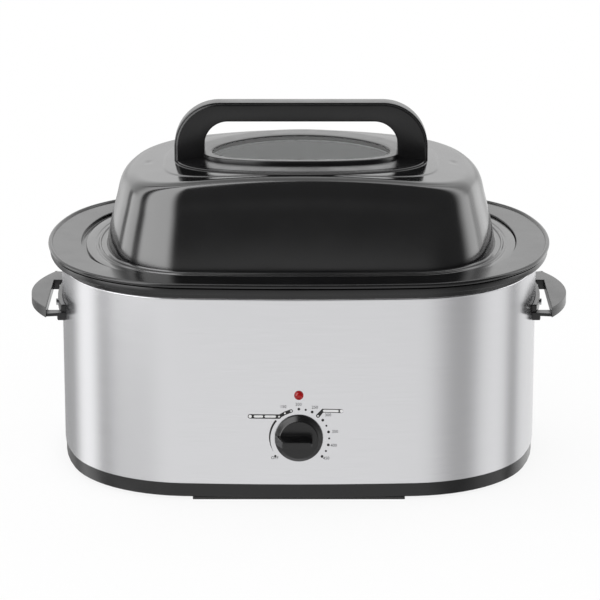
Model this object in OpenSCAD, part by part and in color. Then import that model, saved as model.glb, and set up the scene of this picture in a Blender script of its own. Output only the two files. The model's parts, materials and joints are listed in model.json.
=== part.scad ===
// Electric roaster oven: a steel-wrapped oval base, a lift-out pan and rack,
// and a lift-off lid with a window and an arched handle.
// The origin is the centre of the face that it rests on, +Z is up and the dial faces -Y.

/* [Plan outline] */
// Half width of the rim, across the side handles
body_half_w = 280; // [265:1:300]
// Half depth of the rim, front to back
body_half_d = 206; // [196:1:220]
// Radius of the bowed ends
side_bow_r = 300; // [280:5:330]
// Radius of the bowed front and back
front_bow_r = 1880; // [1600:20:2200]
// Radius of the four corners
corner_r = 155; // [148:1:165]

/* [Base] */
// Height of the rails that it stands on, and of the bar between them
rail_h = 3; // [2:0.5:6]
// Width of each rail, front to back
rail_w = 10; // [6:1:16]
// Half length of each rail
rail_half_len = 115; // [90:5:140]
// Height of the moulded base trim
trim_h = 15.5; // [12:0.5:22]
// Wall of the base trim
trim_wall = 2.4; // [1.6:0.2:3.2]
// Height of the steel wrap above the trim
wrap_h = 216.4; // [190:1:240]
// Sheet thickness of the steel wrap
wrap_t = 0.8; // [0.5:0.1:1.4]
// How far the wrap stands inside the rim outline
wrap_inset = 14.6; // [12:0.2:18]
// Thickness of the bottom plate
bottom_t = 1.2; // [0.8:0.1:2]
// Radius of the screws that hold the bottom plate
base_screw_r = 2; // [1.5:0.1:2.5]

/* [Rim and well] */
// Thickness of the rim ring's web
ring_web_t = 2.5; // [2:0.1:4]
// Height of the rim ring's outer lip
ring_lip_h = 5.9; // [4.5:0.1:8]
// Thickness of the rim ring's lip and skirts
ring_wall = 1.6; // [1.2:0.1:2.4]
// How far the skirt comes down over the wrap
ring_skirt_h = 8; // [5:0.5:14]
// Sheet thickness of the heating well
well_t = 0.8; // [0.6:0.1:1.4]
// How far the well's inner wall stands inside the rim outline
well_inset = 49.8; // [47:0.2:51]
// Air space between the bottom plate and the well
well_floor_gap = 19; // [14:1:30]
// Fillet between the wall and the floor of the well
well_fillet_r = 16; // [10:1:24]

/* [Pan] */
// Sheet thickness of the pan
pan_t = 1.2; // [0.8:0.1:2]
// Radius of the rolled bead round the pan's edge
bead_r = 2.5; // [2:0.1:3.5]
// Inset of the step from the pan's flange to its ledge
pan_step_inset = 35.5; // [32:0.5:38]
// Inset of the pan's inner wall at the top
pan_inset = 54; // [53:0.2:57]
// How much the pan's wall leans in from top to floor
pan_lean = 3; // [1:0.5:8]
// Air space between the pan's floor and the well's floor
pan_floor_gap = 12; // [6:1:20]
// Fillet between the wall and the floor of the pan
pan_fillet_r = 14; // [8:1:20]

/* [Rack] */
// Radius of the rack's frame wire
rack_frame_r = 2.5; // [2:0.1:3.5]
// Radius of the rack's cross wires
rack_wire_r = 1.6; // [1.2:0.1:2.2]
// Number of cross wires
rack_wires = 13; // [9:2:19]
// Height of the rack's feet
rack_feet_h = 16; // [10:1:26]
// Inset of the rack's frame wire
rack_inset = 74; // [70:1:84]
// Height of the rack's end handles
rack_handle_h = 70; // [40:5:110]
// Half width of the rack's end handles
rack_handle_half_w = 42; // [30:1:50]

/* [Lid] */
// Sheet thickness of the lid
lid_t = 1.2; // [0.8:0.1:1.8]
// Inset of the lid's outer edge
lid_edge_inset = 40; // [39:0.5:42]
// Inset of the root of the lid's wall
lid_root_inset = 66.5; // [65:0.5:70]
// Inset at which the shoulder has turned into the crown
lid_crown_inset = 96; // [92:1:100]
// Height of the crown at the middle, above the lid's edge
lid_rise = 102; // [80:1:115]
// Radius of the crown from end to end
crown_r = 1125; // [950:25:1500]
// Where the lid rests in its play from end to end: -1 is at the left and 1 at the right
lid_rest = 0.8; // [-1:0.1:1]

/* [Window and lid handle] */
// Half length of the oval base ring
ring_half_len = 141; // [136:1:150]
// Half width of the oval base ring
ring_half_wid = 110; // [100:1:112]
// Height of the base ring above the crown
base_ring_h = 5; // [3:0.5:7]
// Half length of the window bezel
bezel_half_len = 110; // [106:1:114]
// Half width of the window bezel
bezel_half_wid = 70; // [66:1:74]
// Height of the window bezel above the base ring
bezel_h = 4; // [2.5:0.5:6]
// Width of the bezel's face
bezel_face = 11; // [9:0.5:12]
// Thickness of the window glass
glass_t = 4; // [3:0.5:5]
// Height of the top of the lid handle above the crown
lid_handle_h = 60; // [50:1:70]
// Depth of the lid handle's band, front to back
lid_handle_d = 24; // [18:1:30]
// Thickness of the lid handle's grip
lid_grip_t = 19.5; // [15:0.5:23]
// Width of each leg of the lid handle
lid_leg_w = 26; // [22:1:27]
// Outer corner radius of the lid handle
lid_handle_r = 50; // [40:1:54]
// Radius of the lid handle's rounded edges
lid_handle_edge = 2.5; // [1:0.5:4]

/* [Side handles] */
// How far each side handle stands out past the rim
side_handle_out = 20.6; // [16:0.2:28]
// Half length of each side handle, front to back
side_handle_half_len = 77; // [66:1:84]
// Thickness of each side handle's plate
side_handle_t = 11.5; // [8:0.5:14]
// Height of the top of the side handles
side_handle_z = 184; // [150:1:195]
// Inner edge of the handle's plate, inside the rim outline
side_slot_inset = 1; // [0:0.5:3]
// Thickness of the strip that is screwed to the wrap
side_strip_t = 5; // [4:0.5:6]

/* [Controls] */
// Height of the dial's centre
dial_z = 71.3; // [60:0.5:90]
// Height of the indicator lamp's centre
lamp_z = 119.6; // [115:0.5:140]
// Radius of the indicator lens
lens_r = 5; // [4:0.5:6.5]
// Radius of the knob's skirt
knob_r = 26; // [22:0.5:30]
// How far the knob's grip stands out of the front
knob_out = 26; // [22:0.5:30]
// Width of the knob's grip
knob_grip_w = 6.5; // [5:0.5:9]
// Radius of the thermostat's shaft
shaft_r = 3; // [2.5:0.1:4]
// Radius of the threaded bushing that the shaft turns in
bushing_r = 5; // [4.5:0.1:6]

/* [Hidden] */
$fn = 64;

// Small clearances, shared by the pieces that fit together
seat_gap = 0.3;      // between bodies that lift apart
snug = 0.1;          // between fixed pieces, side by side
shaft_clear = 0.05;  // radial, round the turning shaft
eps = 0.01;
big = 400;

// Heights, from the floor up
trim_top = rail_h + trim_h;
wrap_top = trim_top + wrap_h;              // underside of the rim ring's web
web_top = wrap_top + ring_web_t;
lip_bottom = wrap_top - 0.3;
lip_top = lip_bottom + ring_lip_h;
well_top = web_top + well_t;
bottom_z = rail_h + 2;                     // underside of the bottom plate
well_floor_z = bottom_z + bottom_t + well_floor_gap;
ledge_bottom = well_top + seat_gap;        // underside of the pan's ledge
ledge_top = ledge_bottom + pan_t;
bead_z = lip_top + 1 + bead_r;
flange_top = bead_z + 0.6;
pan_floor_z = well_floor_z + well_t + pan_floor_gap;   // underside of the pan's floor
lid_edge_z = ledge_top + seat_gap;         // underside of the lid's edge
crown_z = lid_edge_z + lid_rise;           // top of the crown, at the middle

// Centres of the plan's arcs: front and back on the Y axis, ends on the X axis
front_c = body_half_d - front_bow_r;
side_c = body_half_w - side_bow_r;
arc_gap = norm([side_c, front_c]);
arc_along = (pow(front_bow_r - corner_r, 2) - pow(side_bow_r - corner_r, 2)
  + arc_gap * arc_gap) / (2 * arc_gap);
arc_off = sqrt(pow(front_bow_r - corner_r, 2) - arc_along * arc_along);
// Centre of the corner arc that is tangent to both bows
corner_c = [(arc_along * side_c - arc_off * front_c) / arc_gap,
  front_c - (arc_along * front_c + arc_off * side_c) / arc_gap];
front_turn = atan2(corner_c[1] - front_c, corner_c[0]);
side_turn = atan2(corner_c[1], corner_c[0] - side_c);

// Points along one arc, without its last one
function arc_points(c, r, from, to, steps) = [for (i = [0 : steps - 1])
  let (a = from + (to - from) * i / steps) [c[0] + r * cos(a), c[1] + r * sin(a)]];

// The plan outline, moved outward by grow: eight arcs that meet tangent to each other
side_steps = 8;
corner_steps = 12;
front_steps = 6;
function plan(grow) = concat(
  arc_points([side_c, 0], side_bow_r + grow, -side_turn, side_turn, side_steps),
  arc_points(corner_c, corner_r + grow, side_turn, front_turn, corner_steps),
  arc_points([0, front_c], front_bow_r + grow, front_turn, 180 - front_turn, front_steps),
  arc_points([-corner_c[0], corner_c[1]], corner_r + grow, 180 - front_turn, 180 - side_turn, corner_steps),
  arc_points([-side_c, 0], side_bow_r + grow, 180 - side_turn, 180 + side_turn, side_steps),
  arc_points(-corner_c, corner_r + grow, 180 + side_turn, 180 + front_turn, corner_steps),
  arc_points([0, -front_c], front_bow_r + grow, 180 + front_turn, 360 - front_turn, front_steps),
  arc_points([corner_c[0], -corner_c[1]], corner_r + grow, 360 - front_turn, 360 - side_turn, corner_steps));
plan_count = len(plan(0));

// A flat plate in the plan's shape
module plan_plate(grow, z, t)
  translate([0, 0, z]) linear_extrude(t) polygon(plan(grow));

// An upright wall or a flat ring between two outlines
module plan_ring(outer, inner, z, h)
  translate([0, 0, z]) linear_extrude(h) difference() {
    polygon(plan(outer));
    polygon(plan(inner));
  }

// Faces of a skin over rings of points: stacked rings of the same count, closed as told
function ring_faces(rings, count, loop) = [for (j = [0 : rings - (loop ? 1 : 2)], i = [0 : count - 1])
  let (i2 = (i + 1) % count, j2 = (j + 1) % rings)
  each [[j * count + i, j2 * count + i, j2 * count + i2], [j * count + i, j2 * count + i2, j * count + i2]]];

// A tub: an open section from its inner floor, over the rim, to its outer floor, closed by two flat floors
module plan_tub(section) {
  points = [for (s = section) for (p = plan(s[0])) [p[0], p[1], s[1]]];
  last = (len(section) - 1) * plan_count;
  polyhedron(points = points, faces = concat(
    ring_faces(len(section), plan_count, false),
    [[for (i = [0 : plan_count - 1]) i]],
    [[for (i = [plan_count - 1 : -1 : 0]) last + i]]), convexity = 6);
}

// X of the bowed end at a given Y, for an outline moved outward by grow
function side_x(y, grow) = side_c + sqrt(pow(side_bow_r + grow, 2) - y * y);

// Y of the outline's back half at a given X, on the bow or on the corner arc, at an inset
function outline_y(x, inset) = abs(x) < (front_bow_r - inset) * cos(front_turn)
  ? front_c + sqrt(pow(front_bow_r - inset, 2) - x * x)
  : corner_c[1] + sqrt(pow(corner_r - inset, 2) - pow(abs(x) - corner_c[0], 2));

// A cylinder that points along -Y from y, used on the front panel
module front_cylinder(x, y, z, r, len)
  translate([x, y, z]) rotate([90, 0, 0]) cylinder(r = r, h = len);

front_y = -(body_half_d - wrap_inset);     // outer face of the wrap at the front
wrap_in = wrap_inset + wrap_t;             // inset of the wrap's inner face
inner_front_y = front_y + wrap_t;

// ---------- base ----------

// Screws that hold the side handles, two for each handle
side_screw_r = 2;
side_screw_y = 28;
side_screw_z = side_handle_z - 6.5;
module at_side_screws(side)
  for (y = [-side_screw_y, side_screw_y])
    translate([side * side_x(y, -wrap_inset), y, side_screw_z])
      rotate([0, 0, side * asin(y / (side_bow_r - wrap_inset))]) rotate([0, side * 90, 0]) children();

gland_x = 60;
gland_z = 42;
gland_r = 8;
gland_flange_w = 3;
gland_flange_t = 3;
cord_r = 4;
// The cord gland's place in the back of the wrap, with Z pointing out
module at_gland()
  translate([gland_x, outline_y(gland_x, wrap_inset), gland_z])
    rotate([0, 0, -asin(gland_x / front_bow_r)]) rotate([-90, 0, 0]) children();

module outer_shell() color("silver") difference() {
  plan_ring(-wrap_inset, -wrap_in, trim_top, wrap_h);
  front_cylinder(0, front_y + 10, dial_z, bushing_r + snug, 20);
  front_cylinder(0, front_y + 10, lamp_z, lens_r - 1 + snug, 20);
  for (side = [-1, 1]) at_side_screws(side)
    translate([0, 0, -5]) cylinder(r = side_screw_r + snug, h = 10);
  at_gland() cylinder(r = gland_r + snug, h = 24, center = true);
}

ring_out = -2;                             // outer face of the rim ring's lip
ring_in = -(well_inset - 4);               // inner edge of the rim ring's web
module rim_ring() color("#262626") {
  // lip
  plan_ring(ring_out, ring_out - ring_wall, lip_bottom, ring_lip_h);
  // web that carries the well
  plan_ring(ring_out - ring_wall / 2, ring_in, wrap_top, ring_web_t);
  // skirts that grip the top of the wrap from both sides
  plan_ring(-wrap_inset + snug + ring_wall, -wrap_inset + snug, wrap_top - ring_skirt_h, ring_skirt_h + 1);
  plan_ring(-wrap_in - snug, -wrap_in - snug - ring_wall, wrap_top - ring_skirt_h - 2, ring_skirt_h + 3);
}

// Section of a pressed tub from the middle of its inner floor up over its rim and down outside.
// rim is the list of [outward, height] points of its flange, from the inside round to the outside.
function tub_section(wall_in, lean, t, floor_z, fillet, rim) = let (foot = -wall_in - lean) concat(
  [for (a = [-90 : 22.5 : 0]) [foot - fillet + fillet * cos(a), floor_z + t + fillet + fillet * sin(a)]],
  rim,
  [for (a = [0 : -22.5 : -90]) [foot - fillet + (fillet + t) * cos(a),
    floor_z + t + fillet + (fillet + t) * sin(a)]]);

well_flange = -(pan_step_inset + 4);
module heating_well() color("#b9bbbd")
  plan_tub(tub_section(well_inset, 0, well_t, well_floor_z, well_fillet_r,
    [[-well_inset, well_top], [well_flange, well_top], [well_flange, well_top - well_t],
      [-well_inset + well_t, well_top - well_t]]));

trim_out = -wrap_inset - 1.2;
trim_lip = -wrap_in - snug;                // outer face of the lip inside the wrap
trim_lip_h = 10;
shelf_edge = 6;                            // shelf past the screws' line
screw_inset = 26;
corner_screw_x = 0.62 * body_half_w;
thread_r = base_screw_r - 0.2;
module base_trim() color("#1c1c1c") {
  plan_ring(trim_out, trim_lip - trim_wall, rail_h, trim_h);
  plan_ring(trim_lip, trim_lip - trim_wall, trim_top, trim_lip_h);
  difference() {
    // shelf that the bottom plate is screwed to
    plan_ring(trim_lip - trim_wall / 2, -screw_inset - shelf_edge, bottom_z + bottom_t, trim_wall);
    at_base_screws() cylinder(r = thread_r + shaft_clear, h = 3 * big, center = true);
  }
}

// Six screws up through the bottom plate, at the corners and the ends
module at_base_screws() {
  for (x = [-corner_screw_x, corner_screw_x], side = [-1, 1])
    translate([x, side * outline_y(x, screw_inset), 0]) children();
  for (side = [-1, 1]) translate([side * (body_half_w - screw_inset), 0, 0]) children();
}

plate_edge = 3;                            // from the trim's wall to the bottom plate's edge
slot_w = 5;
slot_len = body_half_d * 0.3;
slot_pitch = body_half_w * 0.093;
module bottom_plate() color("#8d9093") difference() {
  plan_plate(trim_out - trim_wall - plate_edge, bottom_z, bottom_t);
  at_base_screws() cylinder(r = base_screw_r + snug, h = 3 * big, center = true);
  // rows of air slots under the well, on both sides of the rails' bar
  for (x = [-4.5 : 4.5], side = [-1, 1])
    translate([x * slot_pitch, side * slot_len, bottom_z])
      cube([slot_w, slot_len, 4 * bottom_t], center = true);
}

screw_head_h = 1.4;
module base_screws() color("#9a9a9a") at_base_screws() {
  translate([0, 0, bottom_z - screw_head_h]) cylinder(r = base_screw_r * 1.9, h = screw_head_h);
  translate([0, 0, bottom_z - eps]) cylinder(r = thread_r, h = bottom_t + trim_wall);
}

rail_y = body_half_d + trim_out - trim_wall;         // outer side of each rail, at the middle
rail_seat_w = 3;
module foot_rails() color("#101010") {
  for (m = [0, 1]) mirror([0, m, 0]) {
    translate([-rail_half_len, -rail_y, 0]) cube([2 * rail_half_len, rail_w, rail_h]);
    // raised seat under the bottom plate, inside the trim's wall
    translate([-rail_half_len, -rail_y + rail_w - rail_seat_w, 0])
      cube([2 * rail_half_len, rail_seat_w, bottom_z]);
  }
  // the bar that joins them, with its own seat
  translate([-rail_w / 2, -rail_y, 0]) cube([rail_w, 2 * rail_y, rail_h]);
  translate([-rail_seat_w / 2, -rail_y + rail_w - rail_seat_w, 0])
    cube([rail_seat_w, 2 * (rail_y - rail_w + rail_seat_w), bottom_z]);
}

// ---------- heating ----------

band_z = well_floor_z + 34;
band_h = 46;
band_t = 1.2;
band_in = -well_inset + well_t + snug;     // inner face of the band, on the well's wall
band_gap = 16;
terminal_x = 20;
tab_t = 2;
tab_reach = 7;
clamp_bolt_r = 1.5;
terminal_r = 4.5;
terminal_len = 6;
module heater_band() color("#6f6a60") difference() {
  plan_ring(band_in + band_t, band_in, band_z, band_h);
  // the band's ends stop short of each other at the back
  translate([-band_gap / 2, 0, band_z - 1]) cube([band_gap, big, band_h + 2]);
}

back_band_y = body_half_d + band_in + band_t;   // outer face of the band at the back
module band_clamp() color("#a5a5a5") {
  for (side = [-1, 1])
    translate([side * (band_gap + tab_t) / 2 - tab_t / 2, back_band_y + snug, band_z + band_h / 6])
      cube([tab_t, tab_reach, band_h * 2 / 3]);
  translate([-band_gap * 0.9, back_band_y + snug + tab_reach * 0.6, band_z + band_h / 2])
    rotate([0, 90, 0]) cylinder(r = clamp_bolt_r, h = band_gap * 1.8);
}

module heater_terminals() color("#e5e0d4") for (side = [-1, 1])
  translate([side * (terminal_x + band_gap / 2), back_band_y + snug, band_z + band_h / 4])
    rotate([-90, 0, 0]) {
      cylinder(r = terminal_r, h = terminal_len);
      translate([0, 0, terminal_len - eps]) cylinder(r = terminal_r / 3, h = terminal_len);
    }

wool_t = 7;
wool_in = band_in + band_t + seat_gap;
wool_end = 10;                             // from the blanket's edges to the well's floor and the rim
wool_back_gap = 2 * terminal_x + 44;
wool_front_gap = 80;
module insulation_wrap() color("#d8d4c4") difference() {
  plan_ring(wool_in + wool_t, wool_in, well_floor_z + wool_end, wrap_top - well_floor_z - 2 * wool_end);
  // left open at the back for the band's clamp and terminals
  translate([-wool_back_gap / 2, 0, 0]) cube([wool_back_gap, big, band_z + band_h + wool_end]);
  // and at the front over the sensing bulb
  translate([-wool_front_gap / 2, -big, 0]) cube([wool_front_gap, big, bulb_z + 2 * wool_end]);
}

// ---------- controls ----------

stat_w = 34;
stat_h = 40;
stat_d = 17;
stat_gap = 0.5;                            // between the housing's face and the wrap
stat_y = inner_front_y + stat_gap;
stat_wall = 3;                             // behind the shaft's end
nut_t = 2.4;
nut_r = 8;
bushing_len = wrap_t + stat_gap + nut_t * 1.25;
module thermostat_body() color("#3a3a3a") difference() {
  union() {
    translate([-stat_w / 2, stat_y, dial_z - stat_h / 2]) cube([stat_w, stat_d, stat_h]);
    front_cylinder(0, stat_y + eps, dial_z, bushing_r, bushing_len);
  }
  front_cylinder(0, stat_y + stat_d - stat_wall, dial_z, shaft_r + shaft_clear, big);
}

nut_y = front_y - snug;
module thermostat_nut() color("#b0b0b0") difference() {
  front_cylinder(0, nut_y, dial_z, nut_r, nut_t, $fn = 6);
  front_cylinder(0, nut_y + 1, dial_z, bushing_r + 0.02, nut_t + 2);
}

shaft_back = stat_y + stat_d - stat_wall - seat_gap;
shaft_tip = front_y - knob_out * 0.46;
module thermostat_shaft() color("#c0c0c0")
  front_cylinder(0, shaft_back, dial_z, shaft_r, shaft_back - shaft_tip);

skirt_gap = 0.8;                           // from the wrap to the knob's skirt
skirt_h = 2.4;
knob_face_r = knob_r * 0.8;
knob_face_d = knob_out * 0.31;             // from the wrap to the knob's flat face
hub_d = nut_t * 1.5;                       // from the wrap to the back of the knob's hub
hub_r = nut_r * 1.25;                      // of the hollow behind it, over the nut
edge_cut = knob_r * 0.03;                  // the small bevels round the knob
grip_root_w = knob_grip_w * 1.5;           // the grip's width where it meets the face
module knob_profile() polygon([[0, hub_d], [hub_r, hub_d], [hub_r, skirt_gap], [knob_r, skirt_gap],
  [knob_r, skirt_gap + skirt_h - edge_cut], [knob_r - edge_cut, skirt_gap + skirt_h],
  [knob_face_r + edge_cut, knob_face_d - edge_cut], [knob_face_r, knob_face_d], [0, knob_face_d]]);
module control_knob() color("#1e1e1e") difference() {
  union() {
    translate([0, front_y, dial_z]) rotate([90, 0, 0]) rotate_extrude($fn = 96) knob_profile();
    // grip bar, seen from the front with a blunt end at the pointer and a tapered tail
    translate([0, front_y, dial_z]) intersection() {
      rotate([90, 0, 0]) linear_extrude(knob_out) polygon([
        [-knob_r * 0.98, -grip_root_w / 2], [knob_r * 0.34, -grip_root_w / 2],
        [knob_r * 0.56, -grip_root_w / 7], [knob_r * 0.56, grip_root_w / 7],
        [knob_r * 0.34, grip_root_w / 2], [-knob_r * 0.98, grip_root_w / 2]]);
      // seen from the side: narrower towards its front
      rotate([90, 0, 90]) linear_extrude(2 * knob_r, center = true) polygon([
        [0, -grip_root_w / 2], [-knob_face_d, -grip_root_w / 2], [-knob_out, -knob_grip_w / 2],
        [-knob_out, knob_grip_w / 2], [-knob_face_d, grip_root_w / 2], [0, grip_root_w / 2]]);
      // seen from above: its pointer end slopes back to the skirt
      translate([0, 0, -knob_grip_w]) linear_extrude(2 * knob_grip_w) polygon([
        [-knob_r, -skirt_gap - edge_cut], [-knob_r, -knob_out * 0.16], [-knob_r * 0.7, -knob_out * 0.96],
        [-knob_r * 0.66, -knob_out], [knob_r * 0.5, -knob_out], [knob_r * 0.58, -knob_out * 0.92],
        [knob_r * 0.58, -knob_face_d / 2], [-hub_r - edge_cut, -knob_face_d / 2],
        [-hub_r - edge_cut, -skirt_gap - edge_cut]]);
    }
  }
  // bore, closed at the front by the face of the grip
  front_cylinder(0, front_y + 1, dial_z, shaft_r + 0.02, front_y + 1 - shaft_tip + seat_gap);
}

lens_y = front_y - snug;
lens_rim_t = 0.8;
lens_rise = lens_r * 0.52;                 // of its dome, over the rim
lens_back = 6;                             // how far it goes in behind the wrap's face
module indicator_lens() color("#8c1010") {
  translate([0, lens_y, lamp_z]) rotate([90, 0, 0]) rotate_extrude($fn = 48) polygon(concat(
    [[0, 0], [lens_r, 0], [lens_r, lens_rim_t]],
    [for (a = [0 : 15 : 90]) [(lens_r - lens_rim_t) * cos(a), lens_rim_t + lens_rise * sin(a)]]));
  front_cylinder(0, front_y + lens_back, lamp_z, lens_r - 1, lens_back + lens_rim_t);
}

lamp_r = 3;
lamp_len = 14;
lead_w = 0.8;
lead_len = 7;
module indicator_lamp() color("#e8a070") translate([0, front_y + lens_back + 2 * snug, lamp_z]) {
  rotate([-90, 0, 0]) cylinder(r = lamp_r, h = lamp_len);
  for (side = [-1, 1]) translate([side * lamp_r / 2.5 - lead_w / 2, lamp_len - eps, -lead_w / 2])
    cube([lead_w, lead_len, lead_w]);
}

bulb_r = 2.5;
bulb_len = 60;
bulb_y = -(body_half_d + band_in) - bulb_r - seat_gap;
bulb_z = band_z + band_h + 14;
clip_w = 8;
clip_t = 1;                                // sheet over the bulb
clip_foot = 4;                             // height of each of the clip's feet
module sensing_bulb() color("#c98a54") {
  translate([-bulb_len / 2, bulb_y, bulb_z]) rotate([0, 90, 0]) cylinder(r = bulb_r, h = bulb_len);
}

module bulb_clip() color("#a9a9a9") for (side = [-1, 1])
  translate([side * bulb_len / 3, bulb_y, bulb_z]) difference() {
    translate([-clip_w / 2, -bulb_r - clip_t, -bulb_r - clip_t - clip_foot])
      cube([clip_w, 2 * bulb_r + clip_t + snug, 2 * (bulb_r + clip_t + clip_foot)]);
    rotate([0, 90, 0]) cylinder(r = bulb_r + snug, h = 2 * clip_w, center = true);
    // open towards the well
    translate([0, bulb_r, 0]) cube([2 * clip_w, 2 * bulb_r, 2 * (bulb_r + snug)], center = true);
    // over and under the bulb only the feet are left, against the well
    for (up = [-1, 1]) translate([0, -clip_t, up * (bulb_r + clip_t + clip_foot)])
      cube([2 * clip_w, 2 * bulb_r + clip_t, 2 * clip_foot], center = true);
  }

block_w = 34;
block_d = 16;
block_h = 12;
block_screw_r = 2;
module terminal_block() color("#e9e6dc")
  translate([gland_x, body_half_d - well_inset - block_d, bottom_z + bottom_t + snug / 2]) difference() {
    translate([-block_w / 2, -block_d / 2, 0]) cube([block_w, block_d, block_h]);
    for (k = [-1 : 1]) translate([k * block_w * 0.3, 0, -1]) cylinder(r = block_screw_r, h = block_h + 2);
  }

module cord_gland() color("#161616") at_gland() difference() {
  union() {
    translate([0, 0, seat_gap]) cylinder(r = gland_r + gland_flange_w, h = gland_flange_t);
    translate([0, 0, -gland_r]) cylinder(r = gland_r, h = gland_r + gland_flange_t);
    translate([0, 0, -wrap_t - seat_gap - snug - gland_flange_t])
      cylinder(r = gland_r + gland_flange_w, h = gland_flange_t);
  }
  cylinder(r = cord_r, h = 6 * gland_r, center = true);
}

// ---------- side handles ----------

strip_in = side_bow_r - wrap_inset + snug;           // radius of the strip's inner face
strip_out = strip_in + side_strip_t;
slot_x = body_half_w - side_slot_inset;              // inner edge of the handle's plate
plate_rise = body_half_w + side_handle_out - slot_x;
plate_r = (pow(side_handle_half_len, 2) + plate_rise * plate_rise) / (2 * plate_rise);
arm_y = side_handle_half_len / 2;                    // inner edge of the rear arm
strip_half_len = side_handle_half_len - 11;
front_arm_drop = 8;
side_head_r = 3.6;

// The part of the strip's ring between two Y values
module strip_arc(from_y, to_y, r_in, r_out) intersection() {
  translate([side_c, 0]) difference() {
    circle(r = r_out, $fn = 360);
    circle(r = r_in, $fn = 360);
  }
  translate([body_half_w / 2, from_y]) square([body_half_w, to_y - from_y]);
}

module side_handle() difference() {
  union() {
    translate([0, 0, side_handle_z - side_handle_t]) {
      // the plate that the fingers hold
      linear_extrude(side_handle_t) intersection() {
        translate([body_half_w + side_handle_out - plate_r, 0]) circle(r = plate_r, $fn = 240);
        translate([slot_x, -big / 2]) square([big, big]);
      }
      // the strip against the wrap
      linear_extrude(side_handle_t + 0.5) strip_arc(-strip_half_len, strip_half_len, strip_in, strip_out);
      // the rear arm, level with the plate
      linear_extrude(side_handle_t) difference() {
        polygon([[side_c + strip_in - 20, arm_y], [slot_x + 2, arm_y],
          [slot_x + 2, side_handle_half_len - 3], [slot_x, side_handle_half_len - 0.5],
          [side_c + strip_in - 24, strip_half_len]]);
        translate([side_c, 0]) circle(r = strip_in, $fn = 360);
      }
      // the front arm, lower than the plate
      linear_extrude(side_handle_t - front_arm_drop) difference() {
        polygon([[side_c + strip_in - 20, -strip_half_len], [slot_x + 2, -strip_half_len - 6],
          [slot_x + 2, -strip_half_len + 10], [side_c + strip_in - 20, -strip_half_len + 10]]);
        translate([side_c, 0]) circle(r = strip_in, $fn = 360);
      }
      // the rib that the front arm stands on
      translate([0, 0, -6]) linear_extrude(7)
        strip_arc(-strip_half_len, -strip_half_len + 5, strip_in, strip_out + 4);
    }
  }
  at_side_screws(1) translate([0, 0, -5]) cylinder(r = side_screw_r + snug, h = 12);
}

module right_handle() color("#202020") side_handle();
module left_handle() color("#202020") mirror([1, 0, 0]) side_handle();

backing_t = 1.5;
backing_h = 12;
backing_out = -wrap_in - seat_gap;         // outline of the plates' outer face, just inside the wrap
backing_half_len = side_screw_y * 1.3;
side_head_t = 2;
module side_handle_screws() color("#b5b5b5") for (side = [-1, 1]) at_side_screws(side) {
  translate([0, 0, side_strip_t + seat_gap]) cylinder(r = side_head_r, h = side_head_t);
  translate([0, 0, -side_strip_t - backing_t])
    cylinder(r = side_screw_r, h = 2 * side_strip_t + side_head_t + backing_t);
}

module side_handle_plates() color("#9c9c9c") for (m = [0, 1]) mirror([m, 0, 0]) difference() {
  translate([0, 0, side_screw_z - backing_h / 2]) linear_extrude(backing_h) intersection() {
    difference() {
      polygon(plan(backing_out));
      polygon(plan(backing_out - backing_t));
    }
    translate([0, -backing_half_len]) square([big, 2 * backing_half_len]);
  }
  at_side_screws(1) cylinder(r = side_screw_r + snug, h = 4 * side_strip_t, center = true);
}

// ---------- pan and rack ----------

module roasting_pan() color("#202224")
  plan_tub(tub_section(pan_inset, pan_lean, pan_t, pan_floor_z, pan_fillet_r, concat(
    [[-pan_inset, ledge_top - 3], [-pan_inset + 0.9, ledge_top - 0.9], [-pan_inset + 3, ledge_top],
      [-pan_step_inset - pan_t, ledge_top], [-pan_step_inset - pan_t, flange_top - 1],
      [-pan_step_inset - pan_t + 1, flange_top]],
    // the rolled bead
    [for (a = [165 : -33 : -165]) [-bead_r + bead_r * cos(a), bead_z + bead_r * sin(a)]],
    [[-pan_step_inset, flange_top - pan_t], [-pan_step_inset, ledge_bottom],
      [-pan_inset + pan_t, ledge_bottom]])));

rack_z = pan_floor_z + pan_t + seat_gap + rack_feet_h + rack_frame_r;  // axis of the frame wire
wire_z = rack_z + rack_frame_r + rack_wire_r - 0.5;
rack_foot_x = 110;
long_wire_y = 48;

// One arc of a round wire that follows the plan
module wire_arc(c, r, from, to, wire_r)
  translate([c[0], c[1], 0]) rotate([0, 0, from])
    rotate_extrude(angle = to - from, $fn = ceil(16 * 360 / (to - from)))
      translate([r, 0]) circle(r = wire_r, $fn = 24);

module plan_wire(inset, wire_r) {
  wire_arc([0, front_c], front_bow_r - inset, front_turn, 180 - front_turn, wire_r);
  wire_arc([0, -front_c], front_bow_r - inset, 180 + front_turn, 360 - front_turn, wire_r);
  wire_arc([side_c, 0], side_bow_r - inset, -side_turn, side_turn, wire_r);
  wire_arc([-side_c, 0], side_bow_r - inset, 180 - side_turn, 180 + side_turn, wire_r);
  wire_arc(corner_c, corner_r - inset, side_turn, front_turn, wire_r);
  wire_arc([-corner_c[0], corner_c[1]], corner_r - inset, 180 - front_turn, 180 - side_turn, wire_r);
  wire_arc(-corner_c, corner_r - inset, 180 + side_turn, 180 + front_turn, wire_r);
  wire_arc([corner_c[0], -corner_c[1]], corner_r - inset, 360 - front_turn, 360 - side_turn, wire_r);
}

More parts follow.
